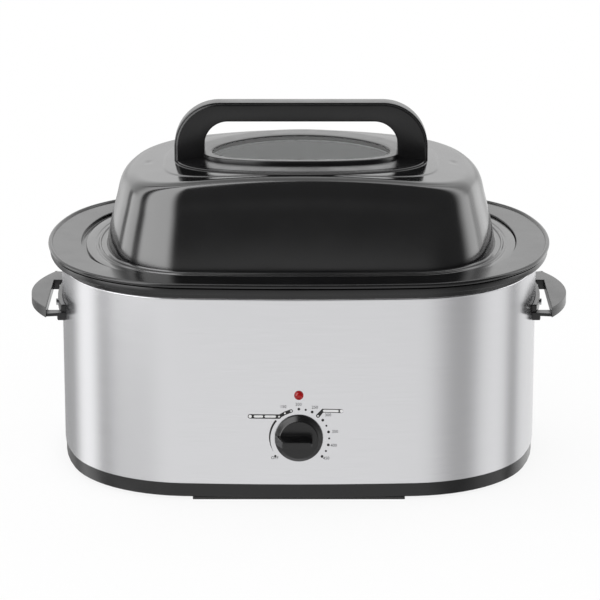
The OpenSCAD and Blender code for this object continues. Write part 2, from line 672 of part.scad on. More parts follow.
rack_reach = side_c + side_bow_r - rack_inset;       // X of the frame at its ends
rack_pitch = 2 * (rack_reach - 34) / (rack_wires - 1);
module roasting_rack() color("#c9ccd0") {
  translate([0, 0, rack_z]) plan_wire(rack_inset, rack_frame_r);
  // cross wires, lying on the frame
  for (k = [-(rack_wires - 1) / 2 : (rack_wires - 1) / 2])
    let (x = k * rack_pitch, y = outline_y(x, rack_inset))
      translate([x, y, wire_z]) rotate([90, 0, 0]) cylinder(r = rack_wire_r, h = 2 * y, $fn = 16);
  // two long wires under them
  for (y = [-long_wire_y, long_wire_y]) let (x = side_x(y, -rack_inset))
    translate([-x, y, rack_z]) rotate([0, 90, 0]) cylinder(r = rack_frame_r - 0.3, h = 2 * x, $fn = 24);
  // feet
  for (x = [-rack_foot_x, rack_foot_x], side = [-1, 1])
    translate([x, side * outline_y(x, rack_inset), rack_z - rack_feet_h - rack_frame_r])
      cylinder(r = rack_frame_r - 0.2, h = rack_feet_h + rack_frame_r, $fn = 24);
  // end handles
  for (side = [-1, 1]) translate([side * side_x(rack_handle_half_w, -rack_inset), 0, rack_z]) {
    for (y = [-rack_handle_half_w, rack_handle_half_w]) translate([0, y, 0]) {
      cylinder(r = rack_frame_r - 0.2, h = rack_handle_h, $fn = 24);
      translate([0, 0, rack_handle_h]) sphere(r = rack_frame_r - 0.2, $fn = 24);
    }
    translate([0, rack_handle_half_w, rack_handle_h]) rotate([90, 0, 0])
      cylinder(r = rack_frame_r - 0.2, h = 2 * rack_handle_half_w, $fn = 24);
  }
}

// ---------- lid ----------

// Height of the crown over X
function crown(x) = crown_z - crown_r + sqrt(crown_r * crown_r - x * x);

// A point on a cubic curve through p0 to p3
function bezier(p0, p1, p2, p3, t) = pow(1 - t, 3) * p0 + 3 * t * pow(1 - t, 2) * p1
  + 3 * t * t * (1 - t) * p2 + pow(t, 3) * p3;

// One ring of the lid's skin. It lies at an inset from the rim outline, base above the edge's
// underside, and a share of the way from there up to the crown.
function lid_ring(inset, base, share, drop = 0) = [for (p = plan(-inset))
  [p[0], p[1], lid_edge_z + base + share * (crown(p[0]) - lid_edge_z - base) - drop]];

// A ring of the top, part of the way from the shoulder to the oval window opening
opening_half_len = bezel_half_len - 6;
opening_half_wid = bezel_half_wid - 6;
top_half_len = body_half_w - lid_crown_inset;
top_half_wid = body_half_d - lid_crown_inset;
function top_ring(part, drop = 0) = [for (p = plan(-lid_crown_inset))
  let (a = atan2(p[1] / top_half_wid, p[0] / top_half_len),
    x = p[0] + part * (opening_half_len * cos(a) - p[0]),
    y = p[1] + part * (opening_half_wid * sin(a) - p[1]))
  [x, y, crown(x) - drop]];

wall_base = 7;
low_wall = [lid_root_inset + 2.9, 0.3];    // [inset, share of the height] part of the way up the wall
shoulder_start = [lid_root_inset + 6, 0.6];
shoulder_steps = 7;
function shoulder(t) = bezier(shoulder_start, shoulder_start + [5, 0.22],
  [lid_crown_inset - 16.5, 1], [lid_crown_inset, 1], t);

// Outer section of the lid's edge, from the edge in to the root of the wall: [inset, base]
lid_edge_out = [[lid_edge_inset, 0], [lid_edge_inset, lid_t], [lid_edge_inset + 0.8, lid_t + 0.8],
  [lid_root_inset - 14, lid_t + 0.8], [lid_root_inset - 13, lid_t], [lid_root_inset - 12, lid_t],
  [lid_root_inset - 11, lid_t + 1.2], [lid_root_inset - 9, lid_t + 2.6], [lid_root_inset - 7, lid_t + 2.6],
  [lid_root_inset - 4.5, lid_t + 1.8], [lid_root_inset - 2, lid_t + 2.4],
  [lid_root_inset - 0.6, lid_t + 4.2]];
lid_edge_in = [[lid_root_inset + lid_t, wall_base - 1], [lid_root_inset - 1.6, 1.6],
  [lid_root_inset - 7, 1.4], [lid_root_inset - 10, 0.6], [lid_root_inset - 12, 0]];

lid_rings = concat(
  [for (q = lid_edge_out) lid_ring(q[0], q[1], 0)],
  [lid_ring(lid_root_inset, wall_base, 0), lid_ring(low_wall[0], wall_base, low_wall[1])],
  [for (k = [0 : shoulder_steps]) let (q = shoulder(k / shoulder_steps)) lid_ring(q[0], wall_base, q[1])],
  [top_ring(0.5), top_ring(1), top_ring(1, lid_t), top_ring(0.5, lid_t)],
  [for (k = [shoulder_steps : -1 : 0]) let (q = shoulder(k / shoulder_steps), lean = k / shoulder_steps)
    lid_ring(q[0] + lid_t * (1 - lean), wall_base, q[1], lid_t * lean)],
  [lid_ring(low_wall[0] + lid_t, wall_base, low_wall[1])],
  [for (q = lid_edge_in) lid_ring(q[0], q[1], 0)]);

lid_screw_r = 2.5;
lid_screw_grip = 13;                       // length of thread in each leg of the handle
lid_head_t = 2.4;
lid_head_gap = 1;                          // the lid's skin leans a little under the flat head
lid_screw_x = ring_half_len - 1 - lid_leg_w / 2;
lid_screw_y = 6.5;
module at_lid_screws() for (x = [-lid_screw_x, lid_screw_x], y = [-lid_screw_y, lid_screw_y])
  translate([x, y, crown(lid_screw_x)]) children();

// Everything on the lid rests to one side of the pan's middle, by a share of its play in the step
lid_play = lid_edge_inset - pan_step_inset - pan_t - seat_gap;
module on_lid() translate([lid_rest * lid_play, 0, 0]) children();

module lid_shell() color("#1d1e20") on_lid() difference() {
  polyhedron(points = [for (r = lid_rings) each r],
    faces = ring_faces(len(lid_rings), plan_count, true), convexity = 8);
  at_lid_screws() cylinder(r = lid_screw_r + snug, h = 20, center = true);
}

// ---------- window and lid handle ----------

function oval(half_len, half_wid, steps = 72) = [for (i = [0 : steps - 1])
  [half_len * cos(i * 360 / steps), half_wid * sin(i * 360 / steps)]];

// A slab that follows the crown, between two heights above it
slab_turn = 12;
module crown_slab(low, high)
  translate([0, body_half_d, crown_z - crown_r]) rotate([90, 0, 0]) rotate([0, 0, 90 - slab_turn])
    rotate_extrude(angle = 2 * slab_turn, $fn = 1080)
      translate([crown_r + low, 0]) square([high - low, 2 * body_half_d]);

// An oval plate or ring that follows the crown
module crown_oval(half_len, half_wid, low, high) intersection() {
  crown_slab(low, high);
  translate([0, 0, crown_z - 60]) linear_extrude(120) polygon(oval(half_len, half_wid));
}
module crown_oval_ring(half_len, half_wid, hole_len, hole_wid, low, high) intersection() {
  crown_slab(low, high);
  translate([0, 0, crown_z - 60]) linear_extrude(120) difference() {
    polygon(oval(half_len, half_wid));
    polygon(oval(hole_len, hole_wid));
  }
}

glass_edge = 7;                            // from the bezel's outer edge to the glass
glass_half_len = bezel_half_len - glass_edge;
glass_half_wid = bezel_half_wid - glass_edge;
glass_low = 1.2;
gasket_w = 3.5;
retainer_gap = 0.3;                        // under the lid's skin, which is flat between its rings
retainer_t = 1.2;
retainer_edge = 8;                         // past the opening in the lid
module handle_base_ring() color("#232323") on_lid() difference() {
  crown_oval_ring(ring_half_len, ring_half_wid, bezel_half_len + snug, bezel_half_wid + snug,
    snug, base_ring_h);
  at_lid_screws() cylinder(r = lid_screw_r + snug, h = 30, center = true);
}

module window_bezel() color("#8b8b8b") on_lid() {
  crown_oval_ring(bezel_half_len, bezel_half_wid, bezel_half_len - bezel_face, bezel_half_wid - bezel_face,
    glass_low + glass_t + snug, base_ring_h + bezel_h);
  crown_oval_ring(bezel_half_len, bezel_half_wid, glass_half_len + snug, glass_half_wid + snug,
    snug, glass_low + glass_t + 2 * snug);
}

module window_glass() color([0.75, 0.82, 0.82, 0.35]) on_lid()
  crown_oval(glass_half_len, glass_half_wid, glass_low, glass_low + glass_t);

module window_gasket() color("#3d3d3d") on_lid()
  crown_oval_ring(glass_half_len - 0.2, glass_half_wid - 0.2,
    glass_half_len - gasket_w, glass_half_wid - gasket_w,
    -lid_t - retainer_gap, glass_low - snug / 2);

module window_retainer() color("#9d9fa2") on_lid()
  crown_oval_ring(opening_half_len + retainer_edge, opening_half_wid + retainer_edge,
    glass_half_len - gasket_w, glass_half_wid - gasket_w,
    -lid_t - retainer_gap - snug / 2 - retainer_t, -lid_t - retainer_gap - snug / 2);

grip_top = crown_z + lid_handle_h;
leg_out = ring_half_len - 0.5;
leg_in = leg_out - lid_leg_w;
inner_handle_r = (lid_handle_r - lid_grip_t) * 0.92;
leg_sink = 20;                             // how far the legs are made too long, before their feet are cut

// Stations along the arch, from one foot over the top to the other: [outer point, inner point]
arch_steps = 9;
function arch_corner(side, from, to) = [for (i = [0 : arch_steps])
  let (a = from + (to - from) * i / arch_steps)
  [[side * (leg_out - lid_handle_r) + lid_handle_r * cos(a), grip_top - lid_handle_r + lid_handle_r * sin(a)],
    [side * (leg_in - inner_handle_r) + inner_handle_r * cos(a),
      grip_top - lid_grip_t - inner_handle_r + inner_handle_r * sin(a)]]];
arch_stations = concat(
  [[[leg_out, crown_z - leg_sink], [leg_in, crown_z - leg_sink]]],
  arch_corner(1, 0, 90), arch_corner(-1, 90, 180),
  [[[-leg_out, crown_z - leg_sink], [-leg_in, crown_z - leg_sink]]]);

// The band's section at one station: a rectangle with rounded edges, between the station's two points
function arch_section(station) = let (middle = (station[0] + station[1]) / 2,
    across = station[0] - station[1], half_t = norm(across) / 2, half_d = lid_handle_d / 2,
    way = across / norm(across))
  [for (corner = [[1, 1, 0], [-1, 1, 90], [-1, -1, 180], [1, -1, 270]], t = [0 : 30 : 90])
    let (u = corner[0] * (half_t - lid_handle_edge) + lid_handle_edge * cos(corner[2] + t),
      v = corner[1] * (half_d - lid_handle_edge) + lid_handle_edge * sin(corner[2] + t))
    [middle[0] + u * way[0], v, middle[1] + u * way[1]]];

module arch() {
  rings = [for (station = arch_stations) arch_section(station)];
  count = len(rings[0]);
  last = (len(rings) - 1) * count;
  polyhedron(points = [for (r = rings) each r], faces = concat(
    ring_faces(len(rings), count, false),
    [[for (i = [0 : count - 1]) i]],
    [[for (i = [count - 1 : -1 : 0]) last + i]]), convexity = 4);
}

module lid_handle() color("#242424") on_lid() difference() {
  arch();
  // its feet follow the base ring
  translate([0, big / 2, crown_z - crown_r]) rotate([90, 0, 0])
    cylinder(r = crown_r + base_ring_h + snug, h = big, $fn = 1080);
  at_lid_screws() cylinder(r = lid_screw_r + 0.02, h = base_ring_h + lid_screw_grip + seat_gap);
}

module lid_handle_screws() color("#b8b8b8") on_lid() at_lid_screws() {
  translate([0, 0, -lid_t - lid_head_gap - lid_head_t]) cylinder(r = lid_screw_r * 1.8, h = lid_head_t);
  translate([0, 0, -lid_t - lid_head_gap - eps])
    cylinder(r = lid_screw_r, h = lid_t + lid_head_gap + base_ring_h + lid_screw_grip);
}

outer_shell();
rim_ring();
heating_well();
base_trim();
bottom_plate();
foot_rails();
base_screws();
heater_band();
band_clamp();
heater_terminals();
insulation_wrap();
thermostat_body();
thermostat_nut();
sensing_bulb();
bulb_clip();
terminal_block();
cord_gland();
indicator_lens();
indicator_lamp();
left_handle();
right_handle();
side_handle_screws();
side_handle_plates();
control_knob();
thermostat_shaft();
roasting_pan();
roasting_rack();
lid_shell();
handle_base_ring();
lid_handle();
lid_handle_screws();
window_bezel();
window_glass();
window_gasket();
window_retainer();
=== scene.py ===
"""Electric roaster oven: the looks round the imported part, in metres, +Z up, dial facing -Y."""

import json
import math

import bmesh
import bpy
import numpy as np
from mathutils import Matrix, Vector


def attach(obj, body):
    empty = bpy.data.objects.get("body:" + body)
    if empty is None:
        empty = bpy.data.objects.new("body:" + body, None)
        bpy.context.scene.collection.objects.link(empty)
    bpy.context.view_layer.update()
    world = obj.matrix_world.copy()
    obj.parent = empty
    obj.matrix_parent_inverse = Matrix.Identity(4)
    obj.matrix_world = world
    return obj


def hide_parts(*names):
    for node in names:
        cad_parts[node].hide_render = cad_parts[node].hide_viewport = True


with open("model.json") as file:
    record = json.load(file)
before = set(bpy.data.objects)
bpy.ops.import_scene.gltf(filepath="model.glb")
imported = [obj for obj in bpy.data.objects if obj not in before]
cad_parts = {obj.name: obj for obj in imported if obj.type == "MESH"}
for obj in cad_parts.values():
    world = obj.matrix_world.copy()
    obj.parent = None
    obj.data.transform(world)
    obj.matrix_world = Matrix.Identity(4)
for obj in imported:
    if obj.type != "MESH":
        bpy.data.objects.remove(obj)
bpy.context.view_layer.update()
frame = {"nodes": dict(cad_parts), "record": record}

MM = 0.001  # the sizes below are in millimetres, unless they say otherwise

# Plan outline of the rim
BODY_HALF_W = 280
BODY_HALF_D = 206
SIDE_BOW_R = 300
FRONT_BOW_R = 1880
CORNER_R = 155

# Heights, from the surface that the roaster stands on
WRAP_TOP = 234.9
WEB_TOP = 237.4
LIP_BOTTOM = 234.6
LIP_TOP = 240.5
LEDGE_BOTTOM = 238.5
LEDGE_TOP = 239.7
BEAD_Z = 244
FLANGE_TOP = 244.6
PAN_FLOOR = 37
LID_EDGE_Z = 240
CROWN_Z = 342
GRIP_TOP = 400.5
DIAL_Z = 71.3

# Insets from the rim outline
WRAP_INSET = 14.6
PAN_STEP_INSET = 35.5
PAN_WALL_INSET = 54
LID_EDGE_INSET = 40
LID_ROOT_INSET = 63
SHOULDER_INSET = 74.1
LID_CROWN_INSET = 96

SHEET_T = 1.2          # of the lid and the pan
BEAD_R = 2.5
CROWN_R = 1125         # the lid's top bends from end to end only
LID_SHIFT = 2.4        # the lid rests this far to the right, within its play
WALL_BASE = 2.4        # from the lid's edge up to the root of its wall
WALL_LEAN = 0.135      # of the lid's wall at its root, as a slope; it grows upward
SHOULDER_START = 0.62  # as a share of the way from the wall's root up to the crown

# Lid top: half lengths and half widths of its ovals, and heights over the crown
WINDOW_HOLE = (104, 64)
BEZEL = (110, 70)
BASE_RING = (141, 110)
RING_TOP = 2.6
FRAME_TOP = 6.3
RAISED_PAD = (152, 107)
DIMPLE_X, DIMPLE_Y = 170, 8


# ---------- camera ----------

VIEW_ELEVATION = math.radians(16)
VIEW_DISTANCE = 3.5                     # in metres, like the next one
LOOK_AT = Vector((0.00124, 0, 0.1711))
LENS_MM = 186.24
SENSOR_MM = 36


def make_camera():
    """The photograph's view: a long lens, level from side to side and a little above the lid."""
    data = bpy.data.cameras.new("camera")
    data.lens = LENS_MM
    data.sensor_width = SENSOR_MM
    data.clip_end = 50
    camera = bpy.data.objects.new("camera", data)
    back = Vector((0, -math.cos(VIEW_ELEVATION), math.sin(VIEW_ELEVATION)))
    camera.location = LOOK_AT + back * VIEW_DISTANCE
    camera.rotation_euler = (math.pi / 2 - VIEW_ELEVATION, 0, 0)
    bpy.context.scene.collection.objects.link(camera)
    bpy.context.scene.camera = camera


make_camera()


# ---------- the plan outline ----------

SIDE_C = BODY_HALF_W - SIDE_BOW_R
FRONT_C = BODY_HALF_D - FRONT_BOW_R
SIDE_STEPS, CORNER_STEPS, FRONT_STEPS = 20, 30, 26


def corner_centre():
    """Centre of the corner arc that meets both bows tangent, in the first quadrant."""
    gap = math.hypot(SIDE_C, FRONT_C)
    along = ((FRONT_BOW_R - CORNER_R) ** 2 - (SIDE_BOW_R - CORNER_R) ** 2 + gap * gap) / (2 * gap)
    off = math.sqrt((FRONT_BOW_R - CORNER_R) ** 2 - along * along)
    return ((along * SIDE_C - off * FRONT_C) / gap,
            FRONT_C - (along * FRONT_C + off * SIDE_C) / gap)


CORNER_C = corner_centre()
FRONT_TURN = math.atan2(CORNER_C[1] - FRONT_C, CORNER_C[0])
SIDE_TURN = math.atan2(CORNER_C[1], CORNER_C[0] - SIDE_C)


def outline(inset=0.0):
    """Points round the plan, moved inward by inset: eight arcs that meet tangent to each other."""
    half_turn = math.pi
    left_corner = (-CORNER_C[0], CORNER_C[1])
    arcs = [
        ((SIDE_C, 0), SIDE_BOW_R, -SIDE_TURN, SIDE_TURN, SIDE_STEPS),
        (CORNER_C, CORNER_R, SIDE_TURN, FRONT_TURN, CORNER_STEPS),
        ((0, FRONT_C), FRONT_BOW_R, FRONT_TURN, half_turn - FRONT_TURN, FRONT_STEPS),
        (left_corner, CORNER_R, half_turn - FRONT_TURN, half_turn - SIDE_TURN, CORNER_STEPS),
    ]
    points = []
    for sign, turn in ((1, 0), (-1, half_turn)):
        for (cx, cy), r, start, end, steps in arcs:
            for a in np.linspace(start, end, steps, endpoint=False) + turn:
                points.append((sign * cx + (r - inset) * math.cos(a),
                               sign * cy + (r - inset) * math.sin(a)))
    return np.array(points)


def crown(x):
    """Height of the lid's top over x."""
    return CROWN_Z - CROWN_R + np.sqrt(CROWN_R * CROWN_R - np.asarray(x) ** 2)


def wrap_y(x):
    """Y of the steel wrap's bowed front over x."""
    return -(FRONT_C + np.sqrt((FRONT_BOW_R - WRAP_INSET) ** 2 - np.asarray(x) ** 2))


# ---------- making pieces ----------


def finish_mesh(name, mesh, sharp_angle):
    """Shade a mesh smooth with its real edges sharp, and put it in the scene."""
    bm = bmesh.new()
    bm.from_mesh(mesh)
    bmesh.ops.recalc_face_normals(bm, faces=bm.faces)
    bm.to_mesh(mesh)
    bm.free()
    mesh.polygons.foreach_set("use_smooth", [True] * len(mesh.polygons))
    mesh.set_sharp_from_angle(angle=math.radians(sharp_angle))
    piece = bpy.data.objects.new(name, mesh)
    bpy.context.scene.collection.objects.link(piece)
    return piece


def loft(name, rings, closed=True, sharp_angle=40, shift=0.0):
    """A skin over rings of points in millimetres. closed joins the last ring to the first one."""
    rings = [np.asarray(ring, float) for ring in rings]
    count = len(rings[0])
    faces = []
    for j in range(len(rings) if closed else len(rings) - 1):
        k = (j + 1) % len(rings)
        for i in range(count):
            n = (i + 1) % count
            faces.append((j * count + i, j * count + n, k * count + n, k * count + i))
    if not closed:
        faces.append(tuple(range(count))[::-1])
        faces.append(tuple(range((len(rings) - 1) * count, len(rings) * count)))
    mesh = bpy.data.meshes.new(name)
    mesh.from_pydata(((np.vstack(rings) + (shift, 0, 0)) * MM).tolist(), [], faces)
    return finish_mesh(name, mesh, sharp_angle)


def rounded(corners, steps=4):
    """A closed section with its corners rounded: each corner is (u, v) or (u, v, radius)."""
    longest = 0.45  # of a side, so that the roundings at its two ends stay apart
    made = []
    for i, corner in enumerate(corners):
        p = np.array(corner[:2], float)
        r = corner[2] if len(corner) > 2 else 0
        before = np.array(corners[i - 1][:2], float) - p
        after = np.array(corners[(i + 1) % len(corners)][:2], float) - p
        reach = min(r, longest * np.linalg.norm(before), longest * np.linalg.norm(after))
        if reach <= 0:
            made.append(tuple(p))
            continue
        a = p + before / np.linalg.norm(before) * reach
        b = p + after / np.linalg.norm(after) * reach
        for t in np.linspace(0, 1, steps + 1):
            made.append(tuple((1 - t) ** 2 * a + 2 * t * (1 - t) * p + t * t * b))
    return made


def level_ring(inset, height):
    """The plan outline at an inset and a height."""
    points = outline(inset)
    return np.column_stack([points, np.full(len(points), height)])


def oval_ring(half_len, half_wid, height, steps=180):
    """An ellipse that follows the crown, at a height above it."""
    a = np.linspace(0, 2 * math.pi, steps, endpoint=False)
    x, y = half_len * np.cos(a), half_wid * np.sin(a)
    return np.column_stack([x, y, crown(x) + height])


# ---------- materials ----------


def linear(hex_colour):
    """An sRGB hex colour as linear light, with alpha."""
    parts = [int(hex_colour[i:i + 2], 16) / 255 for i in (1, 3, 5)]
    return tuple(c / 12.92 if c <= 0.04045 else ((c + 0.055) / 1.055) ** 2.4 for c in parts) + (1.0,)


def node(tree, kind, links=None, **settings):
    """Add a node with its settings, its inputs' values and what feeds them."""
    made = tree.nodes.new(kind)
    for key, value in settings.items():
        setattr(made, key, value)
    for key, value in (links or {}).items():
        if isinstance(value, bpy.types.NodeSocket):
            tree.links.new(value, made.inputs[key])
        else:
            made.inputs[key].default_value = value
    return made


def new_material(name):
    """An empty material and its node tree."""
    material = bpy.data.materials.new(name)
    material.use_nodes = True
    material.node_tree.nodes.clear()
    return material, material.node_tree


def brushed_steel():
    """Stainless sheet, brushed level round the wrap: reflections stay narrow sideways and spread up."""
    material, tree = new_material("brushed_stainless_steel")
    grain_mm = 0.5     # real grit lines are about 0.05 mm and are drawn coarser, so that they show
    line_length = 90   # of a grit line, as a multiple of its width
    place = node(tree, "ShaderNodeTexCoord")
    stretched = node(tree, "ShaderNodeMapping", {
        "Vector": place.outputs["Object"], "Scale": (1 / line_length, 1 / line_length, 1)})
    lines = node(tree, "ShaderNodeTexNoise", {
        "Vector": stretched.outputs[0], "Scale": 1 / (grain_mm * MM), "Detail": 2.0,
        "Roughness": 0.6})
    share = node(tree, "ShaderNodeMapRange", {
        "Value": lines.outputs["Fac"], "From Min": 0.25, "From Max": 0.75})
    tone = node(tree, "ShaderNodeMix", {
        0: share.outputs[0], 6: linear("#cfcfd1"), 7: linear("#d5d5d7")}, data_type="RGBA")
    rough = node(tree, "ShaderNodeMapRange", {
        "Value": share.outputs[0], "To Min": 0.20, "To Max": 0.23})
    brush_way = node(tree, "ShaderNodeTangent", direction_type="RADIAL", axis="Z")
    shader = node(tree, "ShaderNodeBsdfPrincipled", {
        "Base Color": tone.outputs[2], "Metallic": 1.0, "Roughness": rough.outputs[0],
        "Anisotropic": 0.8, "Anisotropic Rotation": 0.0, "Tangent": brush_way.outputs[0]})
    node(tree, "ShaderNodeOutputMaterial", {"Surface": shader.outputs[0]})
    return material


def plain_finish(name, dark, light, low_rough, high_rough, mottle_mm, grain_mm=0.8, depth_mm=0.0,
                 **inputs):
    """A finish with a faint mottle in its colour and gloss, and a fine grain in its surface."""
    material, tree = new_material(name)
    place = node(tree, "ShaderNodeTexCoord")
    mottle = node(tree, "ShaderNodeTexNoise", {
        "Vector": place.outputs["Object"], "Scale": 1 / (mottle_mm * MM), "Detail": 2.0})
    share = node(tree, "ShaderNodeMapRange", {
        "Value": mottle.outputs["Fac"], "From Min": 0.3, "From Max": 0.7})
    tone = node(tree, "ShaderNodeMix", {
        0: share.outputs[0], 6: linear(dark), 7: linear(light)}, data_type="RGBA")
    rough = node(tree, "ShaderNodeMapRange", {
        "Value": share.outputs[0], "To Min": low_rough, "To Max": high_rough})
    sockets = {"Base Color": tone.outputs[2], "Roughness": rough.outputs[0]}
    if depth_mm:
        grain = node(tree, "ShaderNodeTexNoise", {
            "Vector": place.outputs["Object"], "Scale": 1 / (grain_mm * MM), "Detail": 1.0})
        relief = node(tree, "ShaderNodeBump", {
            "Height": grain.outputs["Fac"], "Distance": depth_mm * MM, "Strength": 0.5})
        sockets["Normal"] = relief.outputs[0]
    sockets.update({key.replace("_", " "): value for key, value in inputs.items()})
    shader = node(tree, "ShaderNodeBsdfPrincipled", sockets)
    node(tree, "ShaderNodeOutputMaterial", {"Surface": shader.outputs[0]})
    return material


# Each plain finish: name, darker and lighter colour, roughness from and to, mottle in millimetres,
# then the grain's width and depth in millimetres
FINISHES = {
    "brushed_steel": brushed_steel(),
    # fired glass on steel: a deep black with a hard gloss and a faint orange peel; the IOR is
    # matched to the photo's strong gloss
    "black_enamel": plain_finish(
        "black_porcelain_enamel", "#0a0a0b", "#0e0e0f", 0.13, 0.17, 40, 3.0, 0.006, IOR=1.75),
    # compression-moulded phenolic: nearly black, glossy where the tool is polished
    "black_phenolic": plain_finish(
        "black_phenolic_moulding", "#0e0e0f", "#131314", 0.20, 0.27, 25, 0.8, 0.012, IOR=1.47),
    # moulded nylon: a fine tool texture that breaks up the gloss
    "black_polymer": plain_finish(
        "black_nylon_moulding", "#121212", "#1a1a1a", 0.42, 0.52, 20, 0.6, 0.02, IOR=1.5),
    # hot-dip aluminised sheet: a pale spangle
    "aluminised_steel": plain_finish(
        "aluminised_steel_sheet", "#8f9194", "#b4b6b8", 0.30, 0.42, 4, Metallic=1.0),
    # bright zinc plate: a slightly cloudy silver
    "zinc_steel": plain_finish(
        "zinc_plated_steel", "#9b9d9f", "#bfc0c0", 0.25, 0.40, 3, Metallic=1.0),
    # polished wire under bright chrome
    "chrome_wire": plain_finish(
        "chrome_plated_wire", "#c8cacc", "#d8dadc", 0.08, 0.14, 6, Metallic=1.0),
    # mica sheet in layers: flaky and dull brown
    "mica": plain_finish("mica_heater_band", "#6a6254", "#857b68", 0.5, 0.7, 5, 2.0, 0.05),
    # fired steatite: a chalky white with a soft glaze
    "white_ceramic": plain_finish("glazed_white_ceramic", "#dcd8cc", "#e8e5db", 0.25, 0.35, 10),
    # needled glass wool: matt, with an open fibrous face
    "glass_wool": plain_finish("glass_wool_blanket", "#c9c3ac", "#e0dbc8", 0.85, 0.95, 6, 1.5, 0.6),
    # drawn copper tube with a light tarnish
    "copper": plain_finish("drawn_copper", "#b87a55", "#cf9068", 0.22, 0.35, 3, Metallic=1.0),
    # clear red styrene: glossy, with the light lost inside it
    "red_lens": plain_finish(
        "red_styrene_lens", "#a00a0c", "#b81014", 0.05, 0.08, 3, IOR=1.45, Transmission_Weight=0.2),
    # tempered soda-lime glass: clear, with a trace of wiping on it; its IOR is matched low, so that
    # the inside of the lid shows through it from as low as the photo's view
    "window_glass": plain_finish(
        "tempered_glass", "#f0f6f4", "#f6faf9", 0.0, 0.02, 30, IOR=1.07, Transmission_Weight=1.0),
    # soft silicone: matt black
    "silicone_rubber": plain_finish(
        "black_silicone_rubber", "#161616", "#1d1d1d", 0.55, 0.65, 12, 0.5, 0.02),
    # thin blown glass over a neon gap
    "lamp_glass": plain_finish(
        "neon_lamp_glass", "#d98f6b", "#e8a885", 0.06, 0.10, 3, Transmission_Weight=0.5),
}
# the pan's enamel, fired a little duller than the lid's
PAN_ENAMEL = plain_finish(
    "black_pan_enamel", "#0c0c0d", "#111112", 0.16, 0.22, 30, 2.0, 0.008, IOR=1.5)
# screen-printed ink, matt: black for the marks, grey for the figures, white for the flags' fields
BLACK_INK = plain_finish("black_screen_ink", "#101010", "#161616", 0.5, 0.6, 4)
GREY_INK = plain_finish("grey_screen_ink", "#2a2a2a", "#343434", 0.5, 0.6, 4)
WHITE_INK = plain_finish("white_screen_ink", "#dedede", "#e8e8e8", 0.5, 0.6, 4)
SLOT_OF = {s["node"]: s["material_slot"] for s in frame["record"]["subparts"]}

HARD_EDGE = math.radians(32)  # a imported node's faces that meet at more than this keep their edge
WELD_REACH = 1e-6             # in metres
# Radius of the rounded edges, for the nodes whose edges the eye can reach
EDGE_MM = {"left_handle": 0.9, "right_handle": 0.9, "control_knob": 0.5, "foot_rails": 0.5,
           "cord_gland": 0.4, "base_trim": 0.4, "bottom_plate": 0.2, "terminal_block": 0.4,
           "thermostat_body": 0.4}


def dress(piece, slot, material=None):
    """Give a piece its slot and that slot's finish, or a material of its own."""
    piece.data.materials.clear()
    piece.data.materials.append(material or FINISHES[slot])


def dress_cad_nodes():
    """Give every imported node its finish, and round its hard edges where EDGE_MM says so."""
    for name, piece in frame["nodes"].items():
        dress(piece, SLOT_OF[name])
        piece.data.polygons.foreach_set("use_smooth", [True] * len(piece.data.polygons))
        custom = piece.data.attributes.get("custom_normal")
        if custom:
            piece.data.attributes.remove(custom)
        weld = piece.modifiers.new("weld", "WELD")
        weld.merge_threshold = WELD_REACH
        if name in EDGE_MM:
            soften = piece.modifiers.new("edges", "BEVEL")
            soften.width = EDGE_MM[name] * MM
            soften.segments = 3
            soften.limit_method = "ANGLE"
            soften.angle_limit = HARD_EDGE
            soften.use_clamp_overlap = False
            weighted = piece.modifiers.new("normals", "WEIGHTED_NORMAL")
            weighted.keep_sharp = False
        else:
            split = piece.modifiers.new("edges", "EDGE_SPLIT")
            split.split_angle = HARD_EDGE


dress_cad_nodes()


# ---------- lid ----------
# Sections are lists of corners from outside in: (inset, height, radius of the rounding).

# A flat edge, a small bead, a flat channel and the cove up to the wall's root
LID_EDGE = [
    (LID_EDGE_INSET, 0), (LID_EDGE_INSET, 2, 0.6), (50, 2, 0.6), (51, 1.2, 0.4), (53.2, 1.2, 0.5),
    (54.4, 2.8, 0.9), (55.8, 2.8, 0.9), (57, 1.2, 0.5), (61.6, 1.2, 0.9), (62.7, 1.8, 0.4),
    (LID_ROOT_INSET - 0.05, WALL_BASE),
]
# The same from below, from the wall's root back out
LID_EDGE_UNDER = [(64.1, 1.8), (63.5, 0.6), (62.2, 0.1), (57.4, 0.1), (56.0, 1.5), (54.2, 1.5),
                  (53.0, 0)]


def lid_ring(inset, base, share):
    """A ring of the lid: base above the edge, then a share of the way up from there to the crown."""
    points = outline(inset)
    low = LID_EDGE_Z + base
    return np.column_stack([points, low + share * (crown(points[:, 0]) - low)])


def raised_pad(direction):
    """Distance from the middle of the lid to the edge of the pad pressed round the handle's ring."""
    squareness = 3.2
    along = np.abs(np.cos(direction) / RAISED_PAD[0]) ** squareness
    across = np.abs(np.sin(direction) / RAISED_PAD[1]) ** squareness
    return (along + across) ** (-1 / squareness)


def pressing(x, y, reach):
    """How far the top stands up over its plain crown: up on the pad, and down in the two dimples."""
    pad_rise, pad_slope, dimple_depth, dimple_r = 0.7, 3.0, 1.3, 5.5
    rise = np.clip((reach - np.hypot(x, y)) / pad_slope + 0.5, 0, 1)
    rise = pad_rise * rise * rise * (3 - 2 * rise)
    for side in (-1, 1):
        away = np.clip(np.hypot(x - side * DIMPLE_X, y - DIMPLE_Y) / dimple_r, 0, 1)
        rise = rise - dimple_depth * (0.5 + 0.5 * np.cos(math.pi * away))
    return rise


def shares(count):
    """Even steps up to 1, without the 0 that the ring before them stands at."""
    return np.linspace(0, 1, count + 1)[1:]


